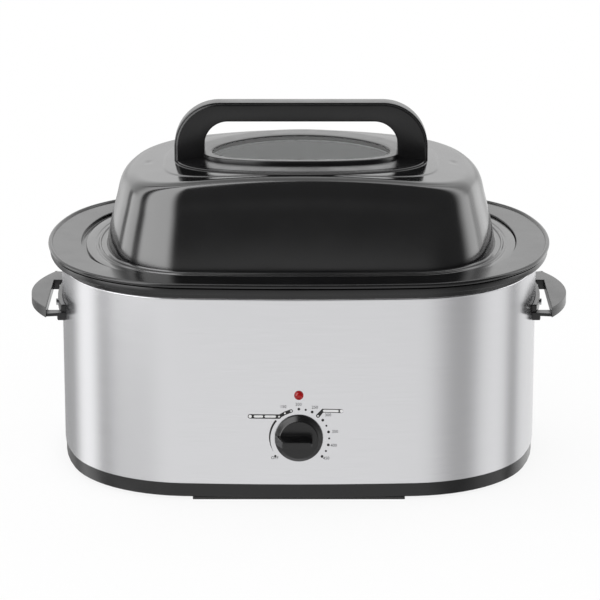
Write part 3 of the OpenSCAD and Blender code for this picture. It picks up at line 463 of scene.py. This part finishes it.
def lid_top_rings():
    """Rings from the shoulder in to the window's opening, close together over the pad's edge."""
    pad_edge = 2  # half the width of the strip where the rings lie close together
    shoulder = outline(LID_CROWN_INSET)
    direction = np.arctan2(shoulder[:, 1], shoulder[:, 0])
    pad = raised_pad(direction)
    outer = np.hypot(shoulder[:, 0], shoulder[:, 1])
    turn = np.arctan2(shoulder[:, 1] / (BODY_HALF_D - LID_CROWN_INSET),
                      shoulder[:, 0] / (BODY_HALF_W - LID_CROWN_INSET))
    hole = np.hypot(WINDOW_HOLE[0] * np.cos(turn), WINDOW_HOLE[1] * np.sin(turn))
    hole_direction = np.arctan2(WINDOW_HOLE[1] * np.sin(turn), WINDOW_HOLE[0] * np.cos(turn))
    pad_in, pad_out = pad - pad_edge, np.minimum(pad + pad_edge, outer)
    rings = [(outer + part * (pad_out - outer), direction) for part in shares(14)]
    rings += [(pad_out + part * (pad_in - pad_out), direction) for part in shares(4)]
    rings += [(pad_in + part * (hole - pad_in), direction + part * (hole_direction - direction))
              for part in shares(6)]
    made = []
    for reach, way in rings:
        x, y = reach * np.cos(way), reach * np.sin(way)
        made.append(np.column_stack([x, y, crown(x) + pressing(x, y, pad)]))
    return made


def lid_wall():
    """The wall up to the shoulder, as (inset, share of the way up): its lean grows evenly."""
    height = float(crown(0)) - LID_EDGE_Z - WALL_BASE
    growth = (SHOULDER_INSET - LID_ROOT_INSET) / (height * SHOULDER_START) - WALL_LEAN
    # the first ring is low, so that the cove's bend doesn't show in the wall's gloss
    parts = [0.01] + list(np.linspace(0.1, SHOULDER_START - 0.1, 5))
    return [(LID_ROOT_INSET + height * part * (WALL_LEAN + growth * part / SHOULDER_START), part)
            for part in parts]


def lid_shoulder():
    """The shoulder, as (inset, share of the way up): it goes on up the wall's lean and ends level."""
    start, end = np.array((SHOULDER_INSET, SHOULDER_START)), np.array((LID_CROWN_INSET, 1))
    lift, settle = start + (5, 0.22), end - (18, 0)
    return [(1 - t) ** 3 * start + 3 * t * (1 - t) ** 2 * lift + 3 * t * t * (1 - t) * settle
            + t ** 3 * end for t in np.linspace(0, 1, 22)]


def lid_dome():
    """The enamelled lid: edge, leaning wall, crisp shoulder, pressed top and window opening."""
    wall, shoulder, top = lid_wall(), lid_shoulder(), lid_top_rings()
    # the edge's last corner only steers the rounding before it: the wall's root takes its place
    outside = [lid_ring(u, v, 0) for u, v in rounded(LID_EDGE)[:-1]]
    outside += [lid_ring(LID_ROOT_INSET, WALL_BASE, 0)]
    outside += [lid_ring(u, WALL_BASE, v) for u, v in wall]
    outside += [lid_ring(u, WALL_BASE, v) for u, v in shoulder]
    under = [ring - (0, 0, SHEET_T) for ring in top[::-1]]
    inside = []
    for k, (u, v) in reversed(list(enumerate(shoulder))):
        lean = k / (len(shoulder) - 1)  # the sheet's thickness turns from sideways to upright
        ring = lid_ring(u + SHEET_T * (1 - lean), WALL_BASE, v)
        inside.append(ring - (0, 0, SHEET_T * lean))
    inside += [lid_ring(u + SHEET_T, WALL_BASE, v) for u, v in wall[::-1]]
    inside += [lid_ring(u, v, 0) for u, v in LID_EDGE_UNDER]
    return loft("lid_dome", outside + top + under + inside, shift=LID_SHIFT, sharp_angle=50)


def oval_band(name, section, sharp_angle=40):
    """A ring on the crown: section is a closed list of (half length, half width, height)."""
    return loft(name, [oval_ring(*corner) for corner in section], shift=LID_SHIFT,
                sharp_angle=sharp_angle)


RING_LIFT = 0.15   # of the ring's underside over the crown
RING_PLAY = 0.15   # between the ring and the window's frame
RING_WIDTH = 30.6  # of the ring along X
# Flat on top, and stepped down twice at the outer edge
RING_SECTION = [(0.0, RING_LIFT), (0.0, 1.2, 0.4), (2.6, 1.5, 0.3), (3.2, 2.2, 0.3),
                (6.0, 2.3, 0.3), (6.8, RING_TOP, 0.3), (RING_WIDTH, RING_TOP),
                (RING_WIDTH, RING_LIFT)]
# A low outer wall and a flat face, with a small lip down to the glass
FRAME_SECTION = [(0, 0.2), (0, FRAME_TOP - 0.5, 0.5), (1.2, FRAME_TOP, 0.5),
                 (8.8, FRAME_TOP - 0.2, 0.4), (11, 5.4, 0.3), (7.1, 5.4), (7.1, 0.2)]


def handle_ring():
    """The moulded oval ring under the handle, as wide as the room left round the window's frame."""
    length, width = BASE_RING
    rings = []
    for inward, height in rounded(RING_SECTION, 3):
        part = inward / RING_WIDTH
        rings.append((length - part * (length - BEZEL[0] - RING_PLAY),
                      width - part * (width - BEZEL[1] - RING_PLAY), height))
    return oval_band("handle_ring", rings)


def window_frame():
    """The window's frame, which holds the glass in the lid."""
    section = rounded(FRAME_SECTION, 4)
    return oval_band("window_frame", [(BEZEL[0] - u, BEZEL[1] - u, v) for u, v in section])


ARCH_OUT = 140.5      # half width of the handle's arch
ARCH_IN = 107
ARCH_R = 50
ARCH_INNER_R = 26
GRIP_T = 21
ARCH_HALF_D = 12
FOOT_SINK = 1         # of the handle's feet into the ring
# The front outer edge of the handle's band, as (in from the outer face, Y, radius): a fine groove
# at the mould's parting line, and a bevel
ARCH_EDGE = [(0, -10.0, 0.4), (1.2, -10.6, 0.2), (1.5, -10.3, 0.1), (1.9, -10.9, 0.2),
             (3.6, -ARCH_HALF_D, 0.4)]


def arch_stations():
    """Points along the arch from one foot to the other: (outer x, outer z, inner x, inner z)."""
    bend_steps = 25
    stations = []
    foot_out = crown(ARCH_OUT) + RING_TOP - FOOT_SINK
    foot_in = crown(ARCH_IN) + RING_TOP - FOOT_SINK
    for side, start, end in ((1, 0, 90), (-1, 90, 180)):
        corner = []
        for a in np.radians(np.linspace(start, end, bend_steps)):
            corner.append((side * (ARCH_OUT - ARCH_R) + ARCH_R * math.cos(a),
                           GRIP_TOP - ARCH_R + ARCH_R * math.sin(a),
                           side * (ARCH_IN - ARCH_INNER_R) + ARCH_INNER_R * math.cos(a),
                           GRIP_TOP - GRIP_T - ARCH_INNER_R + ARCH_INNER_R * math.sin(a)))
        foot = (side * ARCH_OUT, foot_out, side * ARCH_IN, foot_in)
        stations += [foot] + corner if side == 1 else corner + [foot]
    return stations


def grip_arch():
    """The handle: a band with a flat front and back, and a bevel along its outer edges."""
    rings = []
    for out_x, out_z, in_x, in_z in arch_stations():
        across = np.array((out_x - in_x, out_z - in_z))
        thick = np.hypot(*across)
        way = across / thick
        # half of the section, from the middle of the outer face round to that of the inner face
        front = rounded([(thick / 2, 0)] + [(thick / 2 - u, v, r) for u, v, r in ARCH_EDGE]
                        + [(-thick / 2, -ARCH_HALF_D, 1.2), (-thick / 2, 0)], 4)
        back = [(u, -v) for u, v in front[-2:0:-1]]
        middle = np.array((out_x + in_x, out_z + in_z)) / 2
        rings.append([(middle[0] + u * way[0], v, middle[1] + u * way[1]) for u, v in front + back])
    return loft("grip_arch", rings, closed=False, shift=LID_SHIFT, sharp_angle=32)


# ---------- pan and rim ----------
# Sections are lists of corners, as for the lid.

FLANGE_END = 5.2    # inset where the flange runs into the rolled bead
FLOOR_MIDDLE = 120  # inset of the ring that the pan's flat floor starts from
FLOOR_DRAFT = 3     # how much farther in the pan's wall is at the floor
LIP_INSET, LIP_T = 2, 1.6
SKIRT_LOW, INNER_SKIRT_LOW = 226.9, 224.9  # lower ends of the skirts, outside and inside the wrap
RIM_SECTION = [
    # the lip and the web over the wrap's edge
    (LIP_INSET, LIP_BOTTOM, 0.7), (LIP_INSET, LIP_TOP, 0.6), (LIP_INSET + LIP_T, LIP_TOP, 0.6),
    (LIP_INSET + LIP_T, WEB_TOP, 0.4), (45.8, WEB_TOP), (45.8, WRAP_TOP),
    # the skirt inside the wrap, the slot for the wrap, and the skirt outside it
    (17.1, WRAP_TOP), (17.1, INNER_SKIRT_LOW, 0.4), (15.5, INNER_SKIRT_LOW, 0.4),
    (15.5, WRAP_TOP - 0.01), (14.5, WRAP_TOP - 0.01),
    (14.5, SKIRT_LOW, 0.5), (12.9, SKIRT_LOW, 0.5), (12.9, WRAP_TOP, 0.4),
    (3.8, WRAP_TOP, 0.4), (LIP_INSET + LIP_T, LIP_BOTTOM, 0.2),
]


def pan_tub():
    """The lift-out pan: a rolled bead, a flat flange, a step down to the ledge, and a deep tub."""
    bead = [(BEAD_R + BEAD_R * math.cos(a), BEAD_Z + BEAD_R * math.sin(a))
            for a in np.radians(np.linspace(14, 346, 25))]
    step, floor_edge = PAN_STEP_INSET, PAN_WALL_INSET + FLOOR_DRAFT
    inside = rounded([
        (FLOOR_MIDDLE, PAN_FLOOR + SHEET_T), (floor_edge, PAN_FLOOR + SHEET_T, 13),
        (PAN_WALL_INSET, LEDGE_TOP, 2.5), (step + SHEET_T, LEDGE_TOP, 0.9),
        (step + SHEET_T, FLANGE_TOP, 0.9), (FLANGE_END, FLANGE_TOP)], 6)
    outside = rounded([
        (FLANGE_END, FLANGE_TOP - SHEET_T), (step, FLANGE_TOP - SHEET_T, 0.5),
        (step, LEDGE_BOTTOM, 0.6), (PAN_WALL_INSET - SHEET_T, LEDGE_BOTTOM, 2.0),
        (floor_edge - SHEET_T, PAN_FLOOR, 14), (FLOOR_MIDDLE, PAN_FLOOR)], 6)
    rings = [level_ring(u, v) for u, v in inside + bead + outside]
    return loft("pan_tub", rings, closed=False, sharp_angle=50)


def rim_band():
    """The moulded ring on the wrap: its lip, its web over the wrap's edge, and the two skirts."""
    return loft("rim_band", [level_ring(u, v) for u, v in rounded(RIM_SECTION, 4)])


def wrap_bead():
    """The steel's rolled edge, just under the rim's skirt."""
    r, middle_inset, middle_z = 0.95, WRAP_INSET + 0.3, 225.4
    section = [(middle_inset - r * math.cos(a), middle_z + r * math.sin(a))
               for a in np.radians(np.linspace(-110, 110, 13))]
    return loft("wrap_bead", [level_ring(u, v) for u, v in section])


# ---------- printing on the steel ----------

DOT_CIRCLE_R = 32.7   # of the circle that the dots lie on
SWEEP_R = 31.4        # of the tapering arc
LARGE_DOT, SMALL_DOT = 1.5, 1.08
FIGURE_MM = 4.6
PRINT_LIFT = 0.03     # between the steel and the back of the print
PRINT_T = 0.06


def dial_point(degrees, r):
    """A place on the dial, clockwise from the top, as (x, z) in millimetres."""
    a = math.radians(degrees)
    return (r * math.sin(a), DIAL_Z + r * math.cos(a))


def arc_points(centre, r, angles):
    """Points on a circle."""
    return [(centre[0] + r * math.cos(a), centre[1] + r * math.sin(a)) for a in angles]


def round_dot(centre, r):
    """The outline of a dot."""
    return arc_points(centre, r, np.linspace(0, 2 * math.pi, 20, endpoint=False))


def band(path, half_widths):
    """The outline of a printed line along a path. half_widths is one value, or one for each point."""
    path = np.array(path, float)
    along = np.gradient(path, axis=0)
    along /= np.linalg.norm(along, axis=1)[:, None]
    side = np.column_stack([-along[:, 1], along[:, 0]])
    width = np.broadcast_to(half_widths, len(path))[:, None]
    return [tuple(p) for p in np.vstack([path + side * width, (path - side * width)[::-1]])]


def flag(points, half_width):
    """The outline of a bar with round ends along a path."""
    path = np.array(points, float)
    start, end = path[0] - path[1], path[-1] - path[-2]
    body = band(points, half_width)
    count = len(points)
    quarter = math.pi / 2
    a0, a1 = math.atan2(start[1], start[0]), math.atan2(end[1], end[0])
    cap_end = arc_points(path[-1], half_width, np.linspace(a1 + quarter, a1 - quarter, 12))
    cap_start = arc_points(path[0], half_width, np.linspace(a0 + quarter, a0 - quarter, 12))
    return body[:count - 1] + cap_end + body[count + 1:-1] + cap_start


def ink(name, mesh, material):
    """Put printed ink in the scene, on the base."""
    piece = finish_mesh(name, mesh, 30)
    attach(piece, "base")
    dress(piece, "black_polymer", material)


def printed(name, shapes, level, material):
    """Flat shapes on the wrap's front, each a thin layer of ink that follows the steel's bow."""
    bm = bmesh.new()
    for shape in shapes:
        for lift, flip in ((PRINT_LIFT + level, True), (PRINT_LIFT + level + PRINT_T, False)):
            ring = [bm.verts.new((x * MM, (float(wrap_y(x)) - lift) * MM, z * MM))
                    for x, z in shape]
            bm.faces.new(ring[::-1] if flip else ring)
            if flip:
                low = ring
        for i in range(len(low)):
            n = (i + 1) % len(low)
            bm.faces.new((low[i], low[n], ring[n], ring[i]))
    mesh = bpy.data.meshes.new(name)
    bm.to_mesh(mesh)
    bm.free()
    ink(name, mesh, material)


def numerals(name, words, size_mm, material):
    """Small printed figures at their places on the dial."""
    bm = bmesh.new()
    for word, (x, z) in words:
        curve = bpy.data.curves.new(name, "FONT")
        curve.body = word
        curve.size = size_mm * MM
        curve.align_x = "CENTER"
        curve.align_y = "CENTER"
        curve.extrude = PRINT_T * MM / 2
        curve.resolution_u = 3
        source = bpy.data.objects.new(name, curve)
        bpy.context.scene.collection.objects.link(source)
        bpy.context.view_layer.update()
        figure = bpy.data.meshes.new_from_object(source)
        for vertex in figure.vertices:
            across, up, out = vertex.co
            place = x + across / MM
            level = (float(wrap_y(place)) - PRINT_LIFT) * MM - out - PRINT_T * MM / 2
            vertex.co = (place * MM, level, z * MM + up)
        bm.from_mesh(figure)
        bpy.data.objects.remove(source)
        bpy.data.meshes.remove(figure)
    mesh = bpy.data.meshes.new(name)
    bm.to_mesh(mesh)
    bm.free()
    ink(name, mesh, material)


# ---------- the pieces in their places ----------


def put(piece, body, slot, *nodes, material=None):
    """Dress a piece, let it ride on a body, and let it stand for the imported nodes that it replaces."""
    dress(piece, slot, material)
    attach(piece, body)
    if nodes:
        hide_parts(*nodes)


put(lid_dome(), "lid", "black_enamel", "lid_shell")
put(handle_ring(), "lid", "black_phenolic", "handle_base_ring")
put(window_frame(), "lid", "black_phenolic", "window_bezel")
put(grip_arch(), "lid", "black_phenolic", "lid_handle")
put(pan_tub(), "pan", "black_enamel", "roasting_pan", material=PAN_ENAMEL)
put(rim_band(), "base", "black_phenolic", "rim_ring")
put(wrap_bead(), "base", "brushed_steel")


def print_dial():
    """The dial's marks: dots, a tapering arc, two flags with white fields, and plain figures."""
    dots = [(-129, SMALL_DOT + 0.15), (0, LARGE_DOT), (13, SMALL_DOT + 0.1), (26, LARGE_DOT),
            (52, LARGE_DOT), (65, SMALL_DOT), (78, LARGE_DOT), (91, SMALL_DOT), (104, LARGE_DOT),
            (117, SMALL_DOT), (130, LARGE_DOT)]
    black = [round_dot(dial_point(a, DOT_CIRCLE_R), r) for a, r in dots]
    widest, thinnest, steps = 1.05, 0.12, 24  # half widths of the arc
    sweep = np.linspace(-51, -118, steps)
    widths = widest * np.sin(np.linspace(math.pi * 0.42, math.pi * 0.985, steps))
    black.append(band([dial_point(a, SWEEP_R) for a in sweep], np.maximum(widths, thinnest)))
    left_bar = [(-52.5, 95.6), (-21.3, 95.5)]
    left_arm = [(-21.3, 95.5), (-15.0, 99.3), (-8.3, 101.9)]
    right_arm = [(20.6, 96.4), (25.6, 102.2), (45.6, 101.6)]
    black += [flag(left_bar, 2.45), flag(left_arm, 1.9), flag(right_arm, 2.15)]
    white = [round_dot(p, 1.0) for p in (left_arm[0], left_arm[1], left_arm[2], right_arm[0])]
    white += [round_dot((-52.3, 95.6), 1.75), round_dot((45.8, 101.6), 1.75)]
    white += [flag([(-47.2, 95.6), (-39.6, 95.6)], 1.25), flag([(-35.6, 95.6), (-25.8, 95.6)], 1.25),
              flag([(27.2, 102.15), (41.6, 101.7)], 1.3)]
    printed("dial_marks", black, 0.0, BLACK_INK)
    printed("dial_fields", white, PRINT_T, WHITE_INK)
    figures = [("150", (-16.8, 106.6)), ("200", (-0.3, 109.2)), ("250", (17.2, 105.9)),
               ("300", (31.4, 97.2)), ("350", (39.0, 78.4)), ("400", (37.6, 62.8)),
               ("450", (29.6, 48.2)), ("OFF", (-26.0, 48.6))]
    numerals("dial_figures", figures, FIGURE_MM, GREY_INK)


print_dial()


# ---------- stage and light ----------


def between(tree, value, start, end, soft_start, soft_end):
    """1 from start to end and 0 outside, with an edge as soft as given at each end, never 0."""
    rise = node(tree, "ShaderNodeMapRange", {
        "Value": value, "From Min": start - soft_start / 2, "From Max": start + soft_start / 2},
        interpolation_type="SMOOTHSTEP")
    fall = node(tree, "ShaderNodeMapRange", {
        "Value": value, "From Min": end - soft_end / 2, "From Max": end + soft_end / 2,
        "To Min": 1.0, "To Max": 0.0}, interpolation_type="SMOOTHSTEP")
    both = node(tree, "ShaderNodeMath", {0: rise.outputs[0], 1: fall.outputs[0]},
                operation="MULTIPLY")
    return both.outputs[0]


def layered(tree, base, value, bands):
    """A level that starts at base and takes each band's own level between its start and its end."""
    level = base
    for start, end, soft_start, soft_end, band_level in bands:
        where = between(tree, value, start, end, soft_start, soft_end)
        level = node(tree, "ShaderNodeMix", {0: where, 2: level, 3: band_level}).outputs[0]
    return level


def degrees_round(tree, axes):
    """Degrees round from the camera's side: left is negative, and the back is at 180."""
    toward = node(tree, "ShaderNodeMath", {0: axes.outputs["Y"], 1: -1.0}, operation="MULTIPLY")
    turn = node(tree, "ShaderNodeMath", {0: axes.outputs["X"], 1: toward.outputs[0]},
                operation="ARCTAN2")
    return node(tree, "ShaderNodeMath", {0: turn.outputs[0]}, operation="DEGREES").outputs[0]


def background_seen(tree):
    """The light path, and 1 where the camera sees the background, directly or through glass."""
    path = node(tree, "ShaderNodeLightPath")
    seen = node(tree, "ShaderNodeMath", {
        0: path.outputs["Is Camera Ray"], 1: path.outputs["Is Transmission Ray"]},
        operation="MAXIMUM")
    return path, seen.outputs[0]


# What the gloss finds round the roaster, in degrees from the camera's side and as a level where
# 1 is white: start, end, how soft each of these edges is, and the level.
LOW_LEVEL = 1.03      # of the sweep in front, below the sight line
LOW_BANDS = [
    (-220, -131, 1, 18, 0.42),
    (-124, -97, 12, 6, 1.42),     # the lit end of the sweep
    (-97, -78, 8, 8, 0.45),
    (-78, -33, 8, 12, 0.82),      # under the left softbox
    (32, 67, 32, 10, 0.48),       # a flag at the right
    (80, 100, 8, 6, 1.12),
    (107, 123, 8, 10, 0.34),
]
ROOM_BANDS = [
    (-220, -98, 1, 6, 1.5),       # the sweep behind
    (-124, -98, 8, 6, 3.0),
    (-135, -124, 4, 4, 0.5),
    (-84, -34, 9, 15, 4.1),       # the left softbox
    (34, 93, 40, 24, 0.16),       # the darkest of the room
    (93, 122, 24, 8, 2.9),        # the right strip light
    (118, 131, 8, 6, 1.6),
    (131, 220, 6, 1, 1.8),
    (-220, -156, 1, 14, 0.85),
    (154, 220, 14, 1, 0.85),
]
# The room in front is lightest low down, over the far end of the sweep: (elevation, level)
ROOM_LOW, ROOM_HIGH = (-3.5, 0.62), (9.0, 0.15)
SWEEP_ELEVATIONS = (-200, -12, 1, 5)  # start, end, and how soft each is
BACK_TURNS = (112, 220, 20, 1)        # of the softbox over the sweep behind, to either side
BACK_ELEVATIONS = (6, 36, 8, 24)
BACK_LEVEL = 1.3      # of that softbox, which the level surfaces mirror
DIFFUSE_LEVEL = 1.0   # of the plain light from all round
FLOOR_REACH = 12.0    # in metres
FLOOR_OWN_WHITE = 0.85  # share of the floor's white that no shadow dims


def make_floor():
    """A plain white sweep, with the roaster's soft shadow on it."""
    material, tree = new_material("white_floor")
    paint = node(tree, "ShaderNodeBsdfDiffuse", {"Color": linear("#ffffff")})
    _, seen = background_seen(tree)
    share = node(tree, "ShaderNodeMath", {0: seen, 1: FLOOR_OWN_WHITE}, operation="MULTIPLY")
    glow = node(tree, "ShaderNodeEmission", {"Color": linear("#ffffff"), "Strength": 1.0})
    mixed = node(tree, "ShaderNodeMixShader", {
        0: share.outputs[0], 1: paint.outputs[0], 2: glow.outputs[0]})
    node(tree, "ShaderNodeOutputMaterial", {"Surface": mixed.outputs[0]})
    mesh = bpy.data.meshes.new("floor")
    corners = [(x * FLOOR_REACH, y * FLOOR_REACH, 0) for x, y in ((-1, -1), (1, -1), (1, 1), (-1, 1))]
    mesh.from_pydata(corners, [], [(0, 1, 2, 3)])
    floor = bpy.data.objects.new("floor", mesh)
    floor.visible_glossy = False  # the world holds what gloss sees of the sweep
    bpy.context.scene.collection.objects.link(floor)
    mesh.materials.append(material)


def make_world():
    """Plain light from all round; gloss finds the studio's softboxes and its unlit side there."""
    world = bpy.data.worlds.new("studio")
    bpy.context.scene.world = world
    world.use_nodes = True
    tree = world.node_tree
    tree.nodes.clear()
    place = node(tree, "ShaderNodeTexCoord")
    axes = node(tree, "ShaderNodeSeparateXYZ", {0: place.outputs["Generated"]})
    turn = degrees_round(tree, axes)
    rise = node(tree, "ShaderNodeMath", {0: axes.outputs["Z"]}, operation="ARCSINE")
    rise = node(tree, "ShaderNodeMath", {0: rise.outputs[0]}, operation="DEGREES").outputs[0]
    room = node(tree, "ShaderNodeMapRange", {
        "Value": rise, "From Min": ROOM_LOW[0], "From Max": ROOM_HIGH[0],
        "To Min": ROOM_LOW[1], "To Max": ROOM_HIGH[1]}, interpolation_type="SMOOTHSTEP")
    room = layered(tree, room.outputs[0], turn, ROOM_BANDS)
    sweep = layered(tree, LOW_LEVEL, turn, LOW_BANDS)
    low = between(tree, rise, *SWEEP_ELEVATIONS)
    studio = node(tree, "ShaderNodeMix", {0: low, 2: room, 3: sweep})
    to_side = node(tree, "ShaderNodeMath", {0: turn}, operation="ABSOLUTE")
    behind = between(tree, to_side.outputs[0], *BACK_TURNS)
    over = between(tree, rise, *BACK_ELEVATIONS)
    over = node(tree, "ShaderNodeMath", {0: behind, 1: over}, operation="MULTIPLY")
    studio = node(tree, "ShaderNodeMix", {
        0: over.outputs[0], 2: studio.outputs[0], 3: BACK_LEVEL})
    path, seen = background_seen(tree)
    level = node(tree, "ShaderNodeMix", {0: seen, 2: DIFFUSE_LEVEL, 3: 1.0})
    level = node(tree, "ShaderNodeMix", {
        0: path.outputs["Is Glossy Ray"], 2: level.outputs[0], 3: studio.outputs[0]})
    glow = node(tree, "ShaderNodeBackground", {
        "Color": linear("#ffffff"), "Strength": level.outputs[0]})
    node(tree, "ShaderNodeOutputWorld", {"Surface": glow.outputs[0]})


make_floor()
make_world()

bpy.context.scene.view_settings.view_transform = "Standard"
